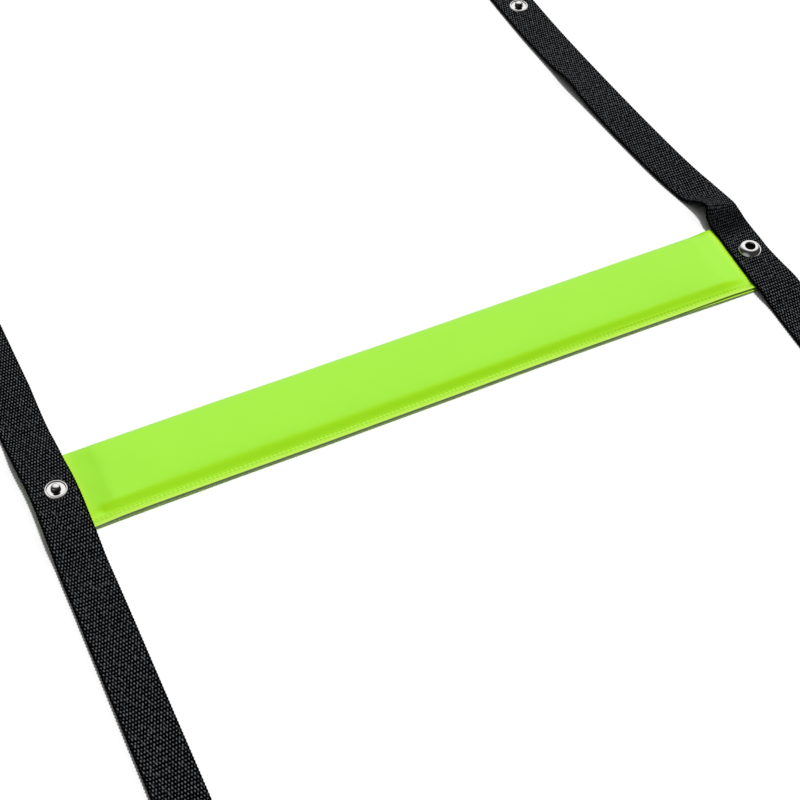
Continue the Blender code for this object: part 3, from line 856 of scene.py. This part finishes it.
def welded_vinyl():
    """Plasticised PVC sheet, calendered and welded: satin, faintly uneven, with a pressed weld."""
    made, tree, shader = new_material("welded_pvc_vinyl")
    _, along, way = own_map(tree, "unrolled")
    place = own_place(tree)
    # calender mottling some 30 mm across
    mottle = speckled(tree, place, scale=32.0, detail=2.0)
    from_middle = calculated(tree, "SUBTRACT", along, SLEEVE_HALF_LENGTH)
    from_middle = calculated(tree, "ABSOLUTE", from_middle)
    way_back = calculated(tree, "SUBTRACT", SHEET_WAY[-1], way)
    from_edge = calculated(tree, "MINIMUM", way, way_back)
    pressed = weld_ticks(tree, along, from_edge)
    darker = ranged(tree, pressed, start=-0.3, end=1.0, high=0.9)
    shade = flange_colour(tree, sheet_colour(tree, mottle, from_middle, way), from_edge)
    # satin grain, drawn at 0.7 mm because the real one is too fine to show
    grain = speckled(tree, place, scale=1400.0, detail=1.0)
    height = calculated(tree, "MULTIPLY_ADD", pressed, TICKS_OVER_GRAIN, grain)
    set_inputs(tree, shader, {
        "Base Color": mixed(tree, darker, shade, "#86c404"),
        "Roughness": ranged(tree, mottle, start=0.0, end=1.0, low=0.31, high=0.285),
        "Normal": relief(tree, height, strength=0.35, distance=0.00004),
        "IOR": 1.53,
        "Specular IOR Level": 0.95,
    })
    return made


def plated_nickel():
    """Brass, pressed and bright nickel plated: a clear reflection with fine rub marks."""
    made, tree, shader = new_material("bright_nickel_plate")
    rubs = speckled(tree, own_place(tree), scale=900.0, detail=3.0)
    set_inputs(tree, shader, {
        "Base Color": mixed(tree, rubs, "#eeecea", "#f8f7f5"),
        "Roughness": ranged(tree, rubs, start=0.0, end=1.0, low=0.07, high=0.17),
        "Normal": relief(tree, rubs, strength=0.2, distance=0.00002),
        "Metallic": 1.0,
    })
    return made


def dull_metal(name, scale, dark, light, roughness):
    """Metal with a dark, speckled colour and a dull gleam, here carrying painted shade and a
    painted dark reflection.
    """
    made, tree, shader = new_material(name)
    specks = speckled(tree, own_place(tree), scale=scale, detail=2.0)
    set_inputs(tree, shader, {
        "Base Color": mixed(tree, specks, dark, light), "Metallic": 1.0, "Roughness": roughness,
    })
    return made


def extruded_slat():
    """White PVC strip, extruded: a dull shine with fine lines drawn along it."""
    made, tree, shader = new_material("extruded_pvc_slat")
    drawn = {"Vector": own_place(tree), "Scale": (4.0, 900.0, 900.0)}
    drawn = add_node(tree, "ShaderNodeMapping", drawn).outputs["Vector"]
    lines = speckled(tree, drawn, scale=1.0, detail=2.0)
    set_inputs(tree, shader, {
        "Base Color": mixed(tree, lines, "#dcdcd6", "#e8e8e3"),
        "Roughness": ranged(tree, lines, start=0.0, end=1.0, low=0.40, high=0.55),
        "Normal": relief(tree, lines, strength=0.3, distance=0.00003),
    })
    return made


def build_floor():
    """A plain white floor with its shadows, a little overexposed where the camera sees it."""
    deselect_all()
    bpy.ops.mesh.primitive_plane_add(size=FLOOR_SIZE, location=(0, 0, -CLEARANCE))
    floor = name_piece("studio_floor")
    made, tree, shader = new_material("matt_white_paper")
    fibre = speckled(tree, own_place(tree), scale=60.0, detail=2.0)
    set_inputs(tree, shader, {
        "Base Color": mixed(tree, fibre, "#fefefe", "#ffffff"),
        "Roughness": 1.0,
        "Specular IOR Level": 0.0,
    })
    rays = add_node(tree, "ShaderNodeLightPath")
    gain = ranged(tree, rays.outputs["Is Camera Ray"], start=0.0, end=1.0, high=FLOOR_GAIN)
    more = add_node(tree, "ShaderNodeBsdfDiffuse", {"Color": gain})
    both = {0: shader.outputs["BSDF"], 1: more.outputs["BSDF"]}
    both = add_node(tree, "ShaderNodeAddShader", both)
    tree.links.new(both.outputs[0], tree.nodes["Material Output"].inputs["Surface"])
    floor.data.materials.append(made)


def add_lamp(name, level, spread, direction):
    """A lamp that shines evenly from one direction, and isn't mirrored in gloss."""
    lamp = bpy.data.lights.new(name, "SUN")
    lamp.energy = level
    lamp.angle = math.radians(spread)
    made = bpy.data.objects.new(name, lamp)
    made.rotation_euler = Vector(direction).to_track_quat("Z", "Y").to_euler()
    made.visible_glossy = False
    bpy.context.scene.collection.objects.link(made)


def build_light():
    """A lamp high over the right strap, and soft light from above. The camera sees plain white."""
    world = bpy.data.worlds.new("studio")
    bpy.context.scene.world = world
    world.use_nodes = True
    tree = world.node_tree
    overhead = toward(tree, KEY_FROM)
    above = ranged(tree, overhead, start=0.45, end=0.95, low=WORLD_LOW, high=WORLD_LEVEL)
    # what shines back off metal and vinyl: a dim room, the white backdrop behind the ladder, and a
    # faint white wall before it, to the left
    backdrop = faded(tree, toward(tree, BACKDROP_TOWARD), start=0.55, end=0.95, low=STUDIO_DIM)
    wall = faded(tree, toward(tree, WALL_TOWARD), start=0.75, end=1.0, high=WALL_LEVEL)
    mirrored = calculated(tree, "ADD", backdrop, wall)
    rays = add_node(tree, "ShaderNodeLightPath").outputs
    shiny = calculated(tree, "ADD", rays["Is Glossy Ray"], rays["Is Transmission Ray"], clamp=True)
    level = {0: shiny, 2: above, 3: mirrored}
    level = add_node(tree, "ShaderNodeMix", level, data_type="FLOAT").outputs[0]
    level = {0: rays["Is Camera Ray"], 2: level, 3: 1.0}
    level = add_node(tree, "ShaderNodeMix", level, data_type="FLOAT").outputs[0]
    set_inputs(tree, tree.nodes["Background"], {"Color": (1, 1, 1, 1), "Strength": level})
    add_lamp("key_lamp", KEY_LEVEL, KEY_SPREAD, KEY_FROM)


def build_camera():
    """The photograph's view."""
    camera = bpy.data.cameras.new("photograph")
    camera.sensor_width = SENSOR
    camera.lens = CAMERA_LENS
    camera.clip_start = 0.01
    camera.clip_end = 100
    out = math.cos(LOOK_DOWN)
    ahead = Vector((math.sin(LOOK_ROUND) * out, math.cos(LOOK_ROUND) * out, -math.sin(LOOK_DOWN)))
    level = Vector((math.cos(LOOK_ROUND), -math.sin(LOOK_ROUND), 0))
    upward = level.cross(ahead)
    right = level * math.cos(CAMERA_ROLL) + upward * math.sin(CAMERA_ROLL)
    top = upward * math.cos(CAMERA_ROLL) - level * math.sin(CAMERA_ROLL)
    turned = Matrix((right, top, -ahead)).transposed().to_4x4()
    made = bpy.data.objects.new("photograph", camera)
    made.matrix_world = Matrix.Translation(CAMERA_PLACE) @ turned
    bpy.context.scene.collection.objects.link(made)
    bpy.context.scene.camera = made


SHEET_WAY = way_round(SLEEVE_SECTION_MM)

webbing = woven_polypropylene()
vinyl = welded_vinyl()
nickel = plated_nickel()
# the socket's spring, with painted shade down in its hole
spring_steel_and_painted_shade = dull_metal("spring_steel_with_painted_shade", 700.0, "#0c0b0b", "#262422", 0.45)
# a painted dark reflection round a stud's neck
painted_dark_reflection = dull_metal("nickel_painted_dark_reflection", 800.0, "#1d1c1b", "#4a4846", 0.28)
slat = extruded_slat()

build_camera()
build_light()
build_floor()
build_straps()
build_sleeves()
build_fasteners()
finish_slats()
bpy.context.scene.view_settings.view_transform = "Standard"
